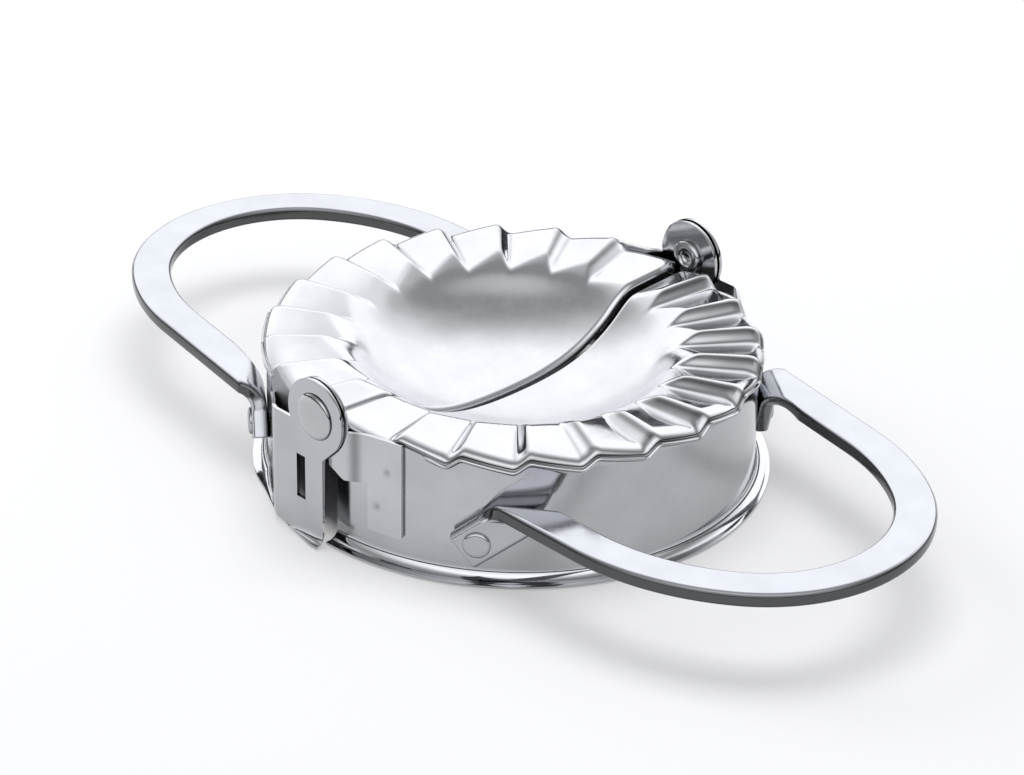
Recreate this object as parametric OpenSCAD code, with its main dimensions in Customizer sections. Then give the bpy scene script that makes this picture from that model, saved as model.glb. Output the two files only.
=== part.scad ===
// Hand press for filled pastry: two pressed half shells that fold about one hinge line,
// crimp the rim of the dough and cut it round. X runs from handle to handle, Y along
// the hinge line, Z up. The origin is on the bench, under the middle of the press.

/* [Shell stamping] */
// Outermost radius of the crimped rim
rim_r = 39.2; // [35:0.1:60]
// Height of the highest crimp above the bench
rim_h = 22.8; // [21:0.1:32]
// Thickness of the sheet
sheet = 0.6; // [0.4:0.05:0.8]
// Gap between the two halves along the seam
seam_gap = 1.2; // [0.8:0.1:2]
// Width of the edge that is turned down along the seam
turn_w = 0.8; // [0.7:0.05:1.2]
// Depth of the edge that is turned down along the seam
turn_d = 1.5; // [1.3:0.1:2]

/* [Dish] */
// Radius where the dish wall meets the crimped rim
dish_r = 24.3; // [20:0.1:27]
// Depth of the dish below its own edge
dish_depth = 8.1; // [5:0.1:10]
// Share of the dish depth that is a shallow bowl, the rest is its steep wall
bowl_share = 0.37; // [0.2:0.01:0.6]
// Slope of the shoulder between dish and crimps
shoulder_slope = 0.5; // [0.4:0.01:0.7]

/* [Crimps] */
// Ridges around one half
ridges = 11; // [8:1:15]
// Angle from the strap end of the seam to the first ridge
first_deg = 18.1; // [15:0.1:22]
// Angle from the last ridge to the tab end of the seam
end_deg = 7.9; // [6:0.1:12]
// Height from valley to ridge
crimp_h = 1.8; // [1:0.1:2.4]
// Angle taken by the steep side of a crimp
steep_deg = 3.3; // [2:0.1:5]
// Share of the crimp height at the strap end of the seam
start_share = 0.6; // [0.2:0.05:0.8]
// Share of the crimp height at the tab end of the seam
end_share = 0.15; // [0:0.05:0.5]
// Fall of a crimp from its outer edge towards the dish, per millimetre
crimp_tilt = 0.05; // [0:0.01:0.1]
// How far the rim overhangs the skirt
overhang = 0.8; // [0.3:0.1:1.2]
// How far the rim reaches down to its outermost line
rim_round = 1.2; // [1:0.1:2.8]

/* [Skirt] */
// How far the lip stands out of the skirt at the bench
lip_out = 2.4; // [1:0.1:3]
// Height of the flare that ends in the lip
flare_h = 2.4; // [1.5:0.1:5]
// Share of the lip's width that is rounded, the rest is flat
round_share = 0.7; // [0.4:0.05:0.9]

/* [Hinge] */
// Height of the hinge line above the bench
axis_h = 22.5; // [21.5:0.1:32]
// Radius of the hinge ears
ear_r = 6.2; // [5:0.1:7]
// Distance from the rim's outermost line to the inner ear
ear_gap = 0.8; // [0.7:0.05:1.5]
// Thickness of the spacing washer between the ears
washer_t = 0.4; // [0.3:0.05:1]
// Radius of the rivet shank
shank_r = 1.9; // [1.5:0.05:2.2]
// Play between the shank and what turns on it
pin_play = 0.05; // [0.03:0.01:0.1]
// Radius of the domed rivet head
dome_r = 3.9; // [3.2:0.1:4.5]
// Height of the domed rivet head
dome_h = 0.9; // [0.6:0.1:1.2]
// Radius of the rolled rivet end
roll_r = 2.9; // [2.5:0.1:3.4]
// Radius of the hollow in the rivet end
hollow_r = 1.3; // [0.8:0.05:1.4]
// Half width of the flat hinge tab, from the hinge line to its crease
tab_w = 10; // [9:0.1:12]
// Height of the shoulder of the tab
tab_h = 20.2; // [18.5:0.1:21]
// Height of the skirt that stays under the rim behind the tab
apron_h = 3.4; // [0.6:0.1:6]
// How far the tab reaches past the seam
tab_past = 1.6; // [0.8:0.1:2.5]
// Distance from the hinge line to the slot in the tab
slot_x = 2.4; // [2:0.1:4]
// Width of the slot in the tab
slot_w = 2; // [1:0.1:3]
// Height of the lower end of the slot
slot_z = 6.8; // [5:0.1:9]
// Height of the slot in the tab
slot_h = 7.6; // [4:0.1:9]
// How far the foot of the tab stands out at the bench
tab_flare = 1.4; // [0:0.1:2]

/* [Hinge straps] */
// Width of the welded plate
plate_w = 6.4; // [5:0.1:9]
// Distance from the hinge line to the middle of the welded plate
plate_x = 11.2; // [11:0.1:13]
// Height of the lower edge of the welded plate
plate_z = 5; // [4.5:0.1:8]
// Height of the upper edge of the welded plate and its arm
plate_top = 21.6; // [19:0.1:21.8]
// Height of the lower edge of the arm
arm_z = 13.2; // [11:0.1:15]
// Distance from the hinge line to the bend of the arm
arm_len = 5.4; // [4.5:0.1:6.5]

/* [Handles] */
// Reach of a handle from the hinge line
handle_reach = 80.8; // [65:0.5:100]
// Width of the flat bar
bar_w = 6.6; // [5:0.1:8]
// Thickness of the flat bar
bar_t = 2.5; // [2:0.1:3]
// Height of the top face of a handle
handle_top = 14.9; // [14:0.1:17]
// Radius at the far end of the loop, as a share of the distance from there to a leg
tip_share = 0.91; // [0.6:0.01:0.97]
// Radius of the middle line along the side that leads to the strap foot
strap_side_r = 38; // [32:0.5:60]
// Radius of the middle line along the side that leads to the tab foot
tab_side_r = 39; // [36:0.5:60]
// Angle by which the leg of the strap foot spreads towards the shell
strap_spread = 0; // [-2:0.5:8]
// Angle by which the leg of the tab foot spreads towards the shell
tab_spread = 10; // [-2:0.5:12]
// Angle of the foot beside the strap, from the line across both handles
strap_foot_deg = 52.2; // [48:0.1:56]
// Angle of the foot beside the tab, from the line across both handles
tab_foot_deg = 53; // [50:0.1:56]
// Slope of the strap foot against the upright
strap_lean = 52; // [25:1:54]
// Slope of the tab foot against the upright
tab_lean = 30; // [20:1:50]
// Inner radius of the fold at the strap foot
strap_fold_r = 0.6; // [0.3:0.1:1.5]
// Inner radius of the fold at the tab foot
tab_fold_r = 2; // [0.6:0.1:2.2]
// Height of a foot rivet
foot_z = 7.8; // [7.2:0.1:9]
// Length of a foot beyond its rivet
foot_end = 2.9; // [2.6:0.1:4]
// Radius of a foot rivet's head
foot_head_r = 2.2; // [1.8:0.1:2.4]
// Radius of a foot rivet's shank
foot_shank_r = 1.2; // [0.9:0.05:1.4]

/* [Hidden] */

steel = "#c9ccd4";
steel_dark = "#8d9097";

// Gap left under what is riveted or welded on a wall
weld_gap = 0.03;

// How far a cut reaches past what it takes away
clear = 6;

// Heights and radii of the stamping
skirt_r = rim_r - overhang;
valley_h = rim_h - crimp_h;
edge_r = skirt_r - 2.2;
dish_top = valley_h - 0.8;
dish_floor = dish_top - dish_depth;
pitch = (180 - first_deg - end_deg) / (ridges - 1);
shift = seam_gap / 2;
body_x = shift + turn_w;

// Planes of the hinge, as distances from the middle of the press
strap_y = rim_r + ear_gap;
washer_y = strap_y + sheet;
tab_y = washer_y + washer_t;
head_y = tab_y + sheet;

// The rim hangs below its edge by this much, then the skirt starts. The tab is cut from
// the skirt below the apron.
drop = rim_round + 1;
cut_z = valley_h - drop - apron_h;

// A pattern of crimps starts and ends low at the seam, with one long ramp at its start
first_valley = first_deg - steep_deg;
ramp_deg = pitch - steep_deg;

// Angles of the sections, from the seam at the strap to the seam at the tab
ramp_steps = 3;
sections = concat(
    [for (k = [0 : ramp_steps - 1]) first_valley * k / ramp_steps],
    [for (t = [0 : ridges - 1])
        let (ridge = first_deg + pitch * t, fall = t == ridges - 1 ? end_deg : ramp_deg)
        each [ridge - steep_deg,
              for (k = [0 : ramp_steps - 1]) ridge + fall * k / ramp_steps]],
    [180]);
last = len(sections) - 1;

// Share of the crimp height at an angle
function crimp(u) =
    u <= first_valley ? start_share * (1 - u / first_valley)
    : u >= 180 - end_deg ? 1 - (1 - end_share) * (u - 180 + end_deg) / end_deg
    : let (v = (u - first_valley + 0.0001) % pitch)
      v < steep_deg ? v / steep_deg : 1 - (v - steep_deg) / ramp_deg;

// Overhang of the rim at an angle: none near the hinge, where ears and strap pass
plain_deg = 22;
blend_deg = 10;
function ease(t) = let (c = max(0, min(1, t))) c * c * (3 - 2 * c);
function over(u) = overhang * ease((min(u, 180 - u) - plain_deg) / blend_deg);

// Height of the dish at a radius, and where the shoulder meets a crimp
function dish_z(r) =
    let (q = r / dish_r)
    dish_floor + dish_depth * (bowl_share * q * q + (1 - bowl_share) * q * q * q * q);
function meet_r(zt) =
    (zt - crimp_tilt * edge_r - dish_top + shoulder_slope * dish_r)
    / (shoulder_slope - crimp_tilt);

// Outer skin of one section as radius and height, from the hub to the lip
dish_steps = [0, 0.22, 0.42, 0.58, 0.71, 0.82, 0.91, 1];
function skin(u) =
    let (zt = valley_h + crimp_h * crimp(u), ov = over(u), rm = meet_r(zt),
         zm = zt - crimp_tilt * (edge_r - rm))
    concat(
        [for (q = dish_steps) [dish_r * q, dish_z(dish_r * q)]],
        [[rm, zm],
         [(rm + edge_r) / 2, (zm + zt) / 2],
         [edge_r, zt],
         [skirt_r - 1.1, zt - 0.1 * rim_round],
         [skirt_r - 0.4 + 0.3 * ov, zt - 0.35 * rim_round],
         [skirt_r - 0.1 + 0.75 * ov, zt - 0.68 * rim_round],
         [skirt_r + ov, zt - rim_round],
         [skirt_r + 0.6 * ov, zt - rim_round - 0.5],
         [skirt_r, zt - drop],
         [skirt_r, cut_z],
         for (a = [0 : 30 : 90])
             [skirt_r + round_share * lip_out * (1 - cos(a)),
              sheet + (flare_h - sheet) * (1 - sin(a))],
         [skirt_r + lip_out, sheet]]);
top_n = len(dish_steps) + 3;
cut_n = len(dish_steps) + 9;
skin_n = len(dish_steps) + 15;

// The inner skin lies one sheet below the outer one, square to the section
function unit(v) = v / norm(v);
function square_to(a, b) = unit([b[1] - a[1], a[0] - b[0]]);
function inside(p, i) =
    i == 0 ? [0, p[0][1] - sheet]
    : let (n0 = square_to(p[i - 1], p[i]),
           n1 = i < len(p) - 1 ? square_to(p[i], p[i + 1]) : n0,
           n = unit(n0 + n1), q = p[i] + n * sheet / (n * n0))
      [q[0], max(q[1], 0)];

// Turned-down edge: steps out of the half and down, for the outer and the inner skin
turn_out = [[0.5, 0.07], [0.87, 0.27], [1, 0.6], [1, 1]];
function turn_o(k) = [turn_w * turn_out[k - 1][0], turn_d * turn_out[k - 1][1]];
function turn_i(k) =
    [(turn_w - sheet) * turn_out[k - 1][0], (turn_d - sheet) * turn_out[k - 1][1]];
turns = len(turn_out);

// Plan of the hinge tab: off the skirt, out to the crease, then flat past the seam. Each
// station is a point of the outer face, the outward direction there, the height of its
// top and how much of the lip it keeps.
leave_deg = 180 - 28.3;
function at(u, r) = [body_x + r * cos(u - 90), r * sin(u - 90)];
leave_s = max([for (s = [0 : last]) sections[s] <= leave_deg ? s : 0]);
leave_p = at(sections[leave_s], skirt_r);
crease_p = [tab_w, head_y];
joggle = crease_p - leave_p;
joggle_n = unit([-joggle[1], joggle[0]]) * (joggle[0] < 0 ? -1 : 1);
crease_n = unit(joggle_n + [0, 1]) / (unit(joggle_n + [0, 1]) * [0, 1]);
tab_top = axis_h + ear_r + 0.5;
rise_z = (cut_z + tab_h) / 2;
stations = [[leave_p, unit(leave_p - [body_x, 0]), cut_z, 1],
            [leave_p + joggle * 0.35, joggle_n, rise_z, 0.5],
            [crease_p, crease_n, tab_h + 0.4, -0.2],
            [[0, head_y], [0, 1], tab_top, tab_flare / lip_out],
            [[-ear_r - 0.5, head_y], [0, 1], tab_top, tab_flare / lip_out]];
tab_stations = len(stations) - 1;
// Profile of the tab from its top edge to the bench: distance from its face, height
function tab_profile(j) =
    let (p = skin(sections[leave_s]), w = stations[j])
    concat([[0, w[2]]],
           [for (i = [cut_n + 1 : skin_n - 1]) [(p[i][0] - skirt_r) * w[3], p[i][1]]]);
tab_n = skin_n - cut_n;

function place(u, q) = [body_x + q[0] * cos(u - 90), q[0] * sin(u - 90), q[1]];
function quad(a, b, c, d) = [[a, c, b], [a, d, c]];

// One stamped half, on the right of the seam, as one closed skin of triangles
module stamping() {
    outs = [for (u = sections) skin(u)];
    ins = [for (p = outs) [for (i = [0 : skin_n - 1]) inside(p, i)]];
    // Points: two hubs, outer grid, inner grid, turned edges at both ends, tab
    main_n = skin_n - 1;
    hubs = [place(0, outs[0][0]), place(0, ins[0][0])];
    outer = [for (s = [0 : last]) for (i = [1 : main_n]) place(sections[s], outs[s][i])];
    inner = [for (s = [0 : last]) for (i = [1 : main_n]) place(sections[s], ins[s][i])];
    turn_hub = [for (k = [1 : turns]) each [
        hubs[0] - [turn_o(k)[0], 0, turn_o(k)[1]],
        hubs[1] - [turn_i(k)[0], 0, turn_i(k)[1]]]];
    turned = [for (e = [0, last]) for (k = [1 : turns]) for (i = [1 : top_n]) each [
        place(sections[e], outs[e][i]) - [turn_o(k)[0], 0, turn_o(k)[1]],
        place(sections[e], ins[e][i]) - [turn_i(k)[0], 0, turn_i(k)[1]]]];
    tab = [for (j = [1 : tab_stations]) for (i = [0 : tab_n - 1])
        let (q = tab_profile(j), w = stations[j], d = inside_tab(q, i))
        each [[w[0][0] + w[1][0] * q[i][0], w[0][1] + w[1][1] * q[i][0], q[i][1]],
              [w[0][0] + w[1][0] * d[0], w[0][1] + w[1][1] * d[0], d[1]]]];

    b_out = 2;
    b_in = b_out + (last + 1) * main_n;
    b_hub = b_in + (last + 1) * main_n;
    b_turn = b_hub + 2 * turns;
    b_tab = b_turn + 2 * turns * top_n * 2;
    function o(s, i) = i == 0 ? 0 : b_out + s * main_n + i - 1;
    function n(s, i) = i == 0 ? 1 : b_in + s * main_n + i - 1;
    function f(e, k, i, side) =
        k == 0 ? (side == 0 ? o(e == 0 ? 0 : last, i) : n(e == 0 ? 0 : last, i))
        : i == 0 ? b_hub + 2 * (k - 1) + side
        : b_turn + 2 * ((e * turns + k - 1) * top_n + i - 1) + side;
    function t(j, i, side) =
        j == 0 ? (side == 0 ? o(leave_s, cut_n + i) : n(leave_s, cut_n + i))
        : b_tab + 2 * ((j - 1) * tab_n + i) + side;
    function span(s) = s < leave_s ? skin_n - 1 : cut_n;

    skins = [for (s = [0 : last - 1]) for (i = [0 : span(s) - 1]) each
        i == 0 ? [[o(s, 0), o(s + 1, 1), o(s, 1)], [n(s, 0), n(s, 1), n(s + 1, 1)]]
        : concat(quad(o(s, i), o(s, i + 1), o(s + 1, i + 1), o(s + 1, i)),
                 quad(n(s, i), n(s + 1, i), n(s + 1, i + 1), n(s, i + 1)))];
    rims = [for (s = [0 : last - 1]) let (i = span(s)) each
        quad(o(s, i), n(s, i), n(s + 1, i), o(s + 1, i))];
    caps = concat(
        [for (i = [top_n : skin_n - 2]) each quad(o(0, i), n(0, i), n(0, i + 1), o(0, i + 1))],
        [for (i = [top_n : cut_n - 1]) each
            quad(o(last, i), o(last, i + 1), n(last, i + 1), n(last, i))]);
    edge = [for (e = [0, 1]) for (k = [0 : turns - 1]) for (i = [0 : top_n - 1]) each
        flip(e, concat(
            quad(f(e, k, i, 0), f(e, k + 1, i, 0), f(e, k + 1, i + 1, 0), f(e, k, i + 1, 0)),
            quad(f(e, k, i, 1), f(e, k, i + 1, 1), f(e, k + 1, i + 1, 1), f(e, k + 1, i, 1))))];
    edge_caps = [for (e = [0, 1]) each flip(e, concat(
        [for (i = [0 : top_n - 1]) each
            quad(f(e, turns, i, 0), f(e, turns, i, 1),
                 f(e, turns, i + 1, 1), f(e, turns, i + 1, 0))],
        [for (k = [0 : turns - 1]) each
            quad(f(e, k, top_n, 0), f(e, k + 1, top_n, 0),
                 f(e, k + 1, top_n, 1), f(e, k, top_n, 1))]))];
    tab_skins = [for (j = [0 : tab_stations - 1]) each concat(
        [for (i = [0 : tab_n - 2]) each concat(
            quad(t(j, i, 0), t(j, i + 1, 0), t(j + 1, i + 1, 0), t(j + 1, i, 0)),
            quad(t(j, i, 1), t(j + 1, i, 1), t(j + 1, i + 1, 1), t(j, i + 1, 1)))],
        quad(t(j, tab_n - 1, 0), t(j, tab_n - 1, 1),
             t(j + 1, tab_n - 1, 1), t(j + 1, tab_n - 1, 0)),
        quad(t(j, 0, 0), t(j + 1, 0, 0), t(j + 1, 0, 1), t(j, 0, 1)))];
    tab_cap = [for (i = [0 : tab_n - 2]) each
        quad(t(tab_stations, i, 0), t(tab_stations, i + 1, 0),
             t(tab_stations, i + 1, 1), t(tab_stations, i, 1))];
    polyhedron(points = concat(hubs, outer, inner, turn_hub, turned, tab),
               faces = concat(skins, rims, caps, edge, edge_caps, tab_skins, tab_cap));
}

function flip(e, faces) = e == 0 ? faces : [for (t = faces) [t[0], t[2], t[1]]];

// Inner face of the tab: one sheet behind its outer face
function inside_tab(p, i) =
    i == 0 ? p[0] - [sheet, 0]
    : let (n0 = i == 1 ? [-1, 0] : square_to(p[i - 1], p[i]),
           n1 = i < len(p) - 1 ? square_to(p[i], p[i + 1]) : n0,
           n = unit(n0 + n1), q = p[i] + n * sheet / (n * n0))
      [q[0], max(q[1], 0)];

// Flat outline of the tab, seen from outside, with its round ear
module tab_outline() {
    neck = ear_r * sin(45);
    shoulder = tab_h - axis_h;
    circle(ear_r, $fn = 48);
    polygon([[tab_w + clear, -axis_h - 1], [-tab_past, -axis_h - 1],
             [-tab_past, tab_past - 2 * neck], [-neck, -neck], [0, 0],
             [sqrt(ear_r * ear_r - shoulder * shoulder) - 0.2, shoulder],
             [tab_w + clear, shoulder]]);
}

// Turns a drawing in X and Z to stand across the hinge line, centred on it
module across(y, depth) {
    translate([0, y + depth, axis_h])
        rotate([90, 0, 0])
            linear_extrude(depth)
                children();
}

// Stands a drawing along Z on the wall at a foot, looking outward. Feet are counted:
// 0 is the one beside the strap, at the front, 1 is the one beside the tab.
foot_degs = [-strap_foot_deg, tab_foot_deg];
module at_foot(foot) {
    translate([body_x, 0, 0])
        rotate([0, 0, foot_degs[foot]])
            translate([skirt_r, 0, foot_z])
                rotate([0, 90, 0])
                    children();
}

module foot_bore(foot, inward, outward) {
    at_foot(foot)
        translate([0, 0, -inward])
            cylinder(r = foot_shank_r + pin_play, h = inward + outward, $fn = 32);
}

// The right half: stamping, less what is cut round the tab and for the pins
module shell() {
    color(steel) difference() {
        stamping();
        across(washer_y + 0.1, clear) difference() {
            translate([-ear_r - 3, -axis_h - 1])
                square([ear_r + tab_w + 4, axis_h + tab_top]);
            tab_outline();
        }
        across(washer_y, clear) {
            circle(shank_r + pin_play, $fn = 48);
            translate([slot_x, slot_z - axis_h]) square([slot_w, slot_h]);
        }
        for (foot = [0, 1]) foot_bore(foot, 3, 3);
    }
}

// Strap of the right half, welded on at the front, with its ear inside the tab's ear
plate_deg = asin((plate_x - body_x) / skirt_r);
module strap() {
    back = skirt_r + weld_gap;
    along = [cos(plate_deg), sin(plate_deg)];
    out = [sin(plate_deg), -cos(plate_deg)];
    mid = [body_x, 0] + out * back;
    near = mid - along * plate_w / 2;
    far = mid + along * plate_w / 2;
    color(steel) difference() {
        intersection() {
            linear_extrude(axis_h + ear_r + 1)
                polygon([far, far + out * sheet, near + out * sheet,
                         [arm_len, -washer_y], [-ear_r - 1, -washer_y],
                         [-ear_r - 1, -strap_y], [arm_len + 0.25, -strap_y], near]);
            translate([0, 0, axis_h]) rotate([90, 0, 0]) linear_extrude(strap_y + 4) {
                circle(ear_r - 0.1, $fn = 48);
                translate([0, arm_z - axis_h])
                    square([mid[0], plate_top - arm_z]);
                translate([near[0] + 0.2, plate_z - axis_h])
                    square([plate_w + 3, plate_top - plate_z]);
                polygon([[-0.58 * ear_r, -0.79 * ear_r], [0, 0.75 * (arm_z - axis_h)],
                         [arm_len, arm_z - axis_h], [arm_len, 0], [0, 0]]);
            }
        }
        translate([0, -strap_y + 1, axis_h]) rotate([90, 0, 0])
            cylinder(r = shank_r + pin_play, h = 3, $fn = 48);
    }
}

// Semi-tubular rivet at the front: domed head outside, rolled hollow end inside
module hinge_rivet() {
    edge_h = 0.25;
    dome_ball = (dome_r * dome_r + (dome_h - edge_h) * (dome_h - edge_h))
        / (2 * (dome_h - edge_h));
    roll_h = 0.9;
    roll_top = (roll_r - hollow_r) / 2;
    color(steel_dark) translate([0, -head_y, axis_h]) rotate([90, 0, 0]) {
        cylinder(r = dome_r, h = edge_h, $fn = 48);
        translate([0, 0, edge_h]) intersection() {
            cylinder(r = dome_r, h = dome_h, $fn = 48);
            translate([0, 0, dome_h - edge_h - dome_ball]) sphere(dome_ball, $fn = 64);
        }
        rotate_extrude($fn = 48) {
            translate([0, -head_y + strap_y - 0.02])
                square([shank_r, head_y - strap_y + 0.04]);
        }
        translate([0, 0, -(head_y - strap_y) - roll_h]) difference() {
            rotate_extrude($fn = 48) union() {
                square([roll_r - roll_top, roll_h]);
                translate([roll_r - roll_top, roll_top]) intersection() {
                    circle(roll_top, $fn = 24);
                    translate([0, -roll_top]) square([roll_top, roll_h]);
                }
                translate([0, roll_top]) square([roll_r, roll_h - roll_top]);
            }
            translate([0, 0, -1]) cylinder(r = hollow_r, h = roll_h + 1.8, $fn = 32);
        }
    }
}

module hinge_washer() {
    color(steel_dark) translate([0, -washer_y, axis_h]) rotate([90, 0, 0])
        difference() {
            cylinder(r = ear_r - 1.7, h = washer_t, $fn = 48);
            translate([0, 0, -1])
                cylinder(r = shank_r + pin_play, h = washer_t + 2, $fn = 48);
        }
}

// Middle line of a handle in plan, seen from the middle of its half of the shell. The tip
// and the two sides are arcs that touch each other, and the legs touch the side arcs.
face_in = skirt_r + weld_gap;
fold_rs = [strap_fold_r, tab_fold_r];
spreads = [strap_spread, tab_spread];
leans = [strap_lean, tab_lean];
side_rs = [strap_side_r, tab_side_r];
arc_steps = 9;
fold_steps = 5;

function fold_at(foot) = face_in + bar_t + fold_rs[foot];
function fold_mid(foot) = fold_rs[foot] + bar_t / 2;
function fold_top(foot) = handle_top - bar_t - fold_rs[foot];

// A foot and its fold: stations from the end of the foot to the top of the fold. Each is
// a point of the middle line and the direction across the bar. In the fold that direction
// runs along the fold line, and the bar turns from the lean of its foot into its leg.
function heading(deg, slant) = [cos(deg - slant), sin(deg - slant)];
function fold_path(deg, p, slants, k, run) =
    k == 0 ? p
    : let (slant = (slants[k - 1] + slants[k]) / 2)
      fold_path(deg, p, slants, k - 1, run) + heading(deg, slant) * run / cos(slant);
function skew(foot) = abs(foot_degs[foot]) + spreads[foot];
function foot_line(foot) =
    let (deg = abs(foot_degs[foot]), lean = leans[foot], bend = fold_mid(foot) * PI / 2,
         upright = fold_top(foot) - foot_z,
         rivet_p = (fold_at(foot) - bend - upright) * [cos(deg), sin(deg)],
         foot_dir = heading(deg, lean),
         low_p = rivet_p + foot_dir * upright / cos(lean),
         slants = [for (k = [0 : fold_steps])
             lean + (skew(foot) - lean) * k / fold_steps])
    concat(
        [[rivet_p - foot_dir * foot_end, [-foot_dir[1], foot_dir[0]]]],
        [for (k = [0 : fold_steps])
            [fold_path(deg, low_p, slants, k, bend / fold_steps),
             [-sin(deg), cos(deg)] / cos(slants[k])]]);
foot_lines = [foot_line(0), foot_line(1)];

// Both legs leave room for the arc at the tip, whose middle lies on the reach of the bar
line_reach = handle_reach - body_x - bar_w / 2;
function tip_room(foot) =
    let (p = foot_lines[foot][fold_steps + 1][0], out = sin(spreads[foot]))
    tip_share * (p * [out, cos(spreads[foot])] - line_reach * out) / (1 - tip_share * out);
tip_bend_r = min(tip_room(0), tip_room(1));
tip_c = [line_reach - tip_bend_r, 0];

// Half of the line, from a foot to the tip, drawn on the side of positive Y
function half_line(foot) =
    let (spread = spreads[foot], side_r = side_rs[foot],
         high_p = foot_lines[foot][fold_steps + 1][0],
         leg_dir = [cos(spread), -sin(spread)],
         across_leg = [sin(spread), cos(spread)],
         leg_arc = high_p - side_r * across_leg,
         to_tip = leg_arc - tip_c, half_b = to_tip * leg_dir,
         arc_c = leg_arc + leg_dir * (-half_b
             - sqrt(half_b * half_b - to_tip * to_tip
                    + (side_r - tip_bend_r) * (side_r - tip_bend_r))),
         join_deg = atan2(-arc_c[1], tip_c[0] - arc_c[0]))
    concat(
        foot_lines[foot],
        [[high_p + leg_dir * (bar_w / 2 * tan(skew(foot)) + 0.3), across_leg]],
        [for (k = [0 : arc_steps])
            let (g = (90 - spread) + (join_deg - 90 + spread) * k / arc_steps)
            [arc_c + side_r * [cos(g), sin(g)], [cos(g), sin(g)]]],
        [for (k = [1 : arc_steps - foot])
            let (g = join_deg * (1 - k / arc_steps))
            [tip_c + tip_bend_r * [cos(g), sin(g)], [cos(g), sin(g)]]]);
function mirrored(w) = [[w[0][0], -w[0][1]], [w[1][0], -w[1][1]]];
strap_line = half_line(0);
tab_line = half_line(1);
bar_line = concat(tab_line,
    [for (k = [len(strap_line) - 1 : -1 : 0]) mirrored(strap_line[k])]);

// A point of the flat bar at height h, folded down the shell where it is past the fold
function folded(p, h) =
    let (foot = p[1] < 0 ? 0 : 1, n = [cos(foot_degs[foot]), sin(foot_degs[foot])],
         run = fold_at(foot) - p * n, q = p - n * (p * n))
    run <= 0 || p[0] > fold_at(foot) ? [p[0], p[1], handle_top - bar_t + h]
    : let (turn = min(run / fold_mid(foot) * 180 / PI, 90), rho = fold_rs[foot] + h,
           w = q + n * (fold_at(foot) - rho * sin(turn)))
      [w[0], w[1], fold_top(foot) + rho * cos(turn)
                   - max(run - fold_mid(foot) * PI / 2, 0)];

// Section of the bar: a flat with rounded edges, as width and height
round_r = 0.9;
bar_section = [for (c = [[1, 1], [-1, 1], [-1, -1], [1, -1]]) for (k = [0 : 2])
    let (g = (c[0] > 0 ? (c[1] > 0 ? 0 : 270) : (c[1] > 0 ? 90 : 180)) + 45 * k)
    [c[0] * (bar_w / 2 - round_r) + round_r * cos(g),
     bar_t / 2 + c[1] * (bar_t / 2 - round_r) + round_r * sin(g)]];
module handle_bar() {
    m = len(bar_section);
    c = len(bar_line);
    rings = [for (w = bar_line) for (q = bar_section) folded(w[0] + w[1] * q[0], q[1])];
    faces = concat(
        [for (k = [0 : c - 2]) for (j = [0 : m - 1]) each
            quad(k * m + j, k * m + (j + 1) % m, (k + 1) * m + (j + 1) % m, (k + 1) * m + j)],
        [[for (j = [0 : m - 1]) j], [for (j = [m - 1 : -1 : 0]) (c - 1) * m + j]]);
    translate([body_x, 0, 0]) polyhedron(points = rings, faces = faces);
}

module handle() {
    color(steel) difference() {
        handle_bar();
        for (foot = [0, 1]) foot_bore(foot, 1, clear);
    }
}

// Flat rivet through a foot and the skirt, with a low head on both sides
module foot_rivet(foot) {
    head_h = 0.6;
    out = weld_gap + bar_t;
    color(steel_dark) at_foot(foot) {
        translate([0, 0, out]) cylinder(r = foot_head_r, h = head_h, $fn = 32);
        translate([0, 0, -sheet - 0.1])
            cylinder(r = foot_shank_r, h = sheet + 0.2 + out, $fn = 32);
        translate([0, 0, -sheet - 0.1 - head_h])
            cylinder(r = foot_head_r - 0.2, h = head_h, $fn = 32);
    }
}

module half_turn() { rotate([0, 0, 180]) children(); }

half_turn() shell();  // left_shell
shell();  // right_shell
half_turn() strap();  // left_hinge_strap
strap();  // right_hinge_strap
hinge_rivet();  // front_hinge_rivet
half_turn() hinge_rivet();  // back_hinge_rivet
hinge_washer();  // front_hinge_washer
half_turn() hinge_washer();  // back_hinge_washer
half_turn() handle();  // left_handle
handle();  // right_handle
half_turn() foot_rivet(1);  // left_handle_front_rivet
half_turn() foot_rivet(0);  // left_handle_back_rivet
foot_rivet(0);  // right_handle_front_rivet
foot_rivet(1);  // right_handle_back_rivet
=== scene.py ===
import math

import bmesh
import bpy
from mathutils import Matrix, Vector


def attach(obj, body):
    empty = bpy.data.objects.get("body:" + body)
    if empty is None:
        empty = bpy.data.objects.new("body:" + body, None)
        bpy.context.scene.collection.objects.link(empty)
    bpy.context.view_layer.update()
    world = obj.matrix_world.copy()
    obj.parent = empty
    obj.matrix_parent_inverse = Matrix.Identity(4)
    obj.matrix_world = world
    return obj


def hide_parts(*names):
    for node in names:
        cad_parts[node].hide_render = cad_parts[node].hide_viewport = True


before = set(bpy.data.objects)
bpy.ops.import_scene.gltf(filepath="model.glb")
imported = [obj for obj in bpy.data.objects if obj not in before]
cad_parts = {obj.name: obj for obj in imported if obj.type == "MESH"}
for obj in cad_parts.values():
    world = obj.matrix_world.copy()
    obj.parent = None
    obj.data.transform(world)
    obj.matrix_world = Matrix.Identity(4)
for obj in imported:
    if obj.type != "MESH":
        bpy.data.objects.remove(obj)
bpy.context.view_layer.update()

# Shell halves. Each half is one stamping of polished stainless sheet: half of a round
# dish, a crimped rim like a saw blade laid flat, a cutting skirt that ends in a flared
# lip, and a flat hinge tab with a round ear that is bent off the skirt.

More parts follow.
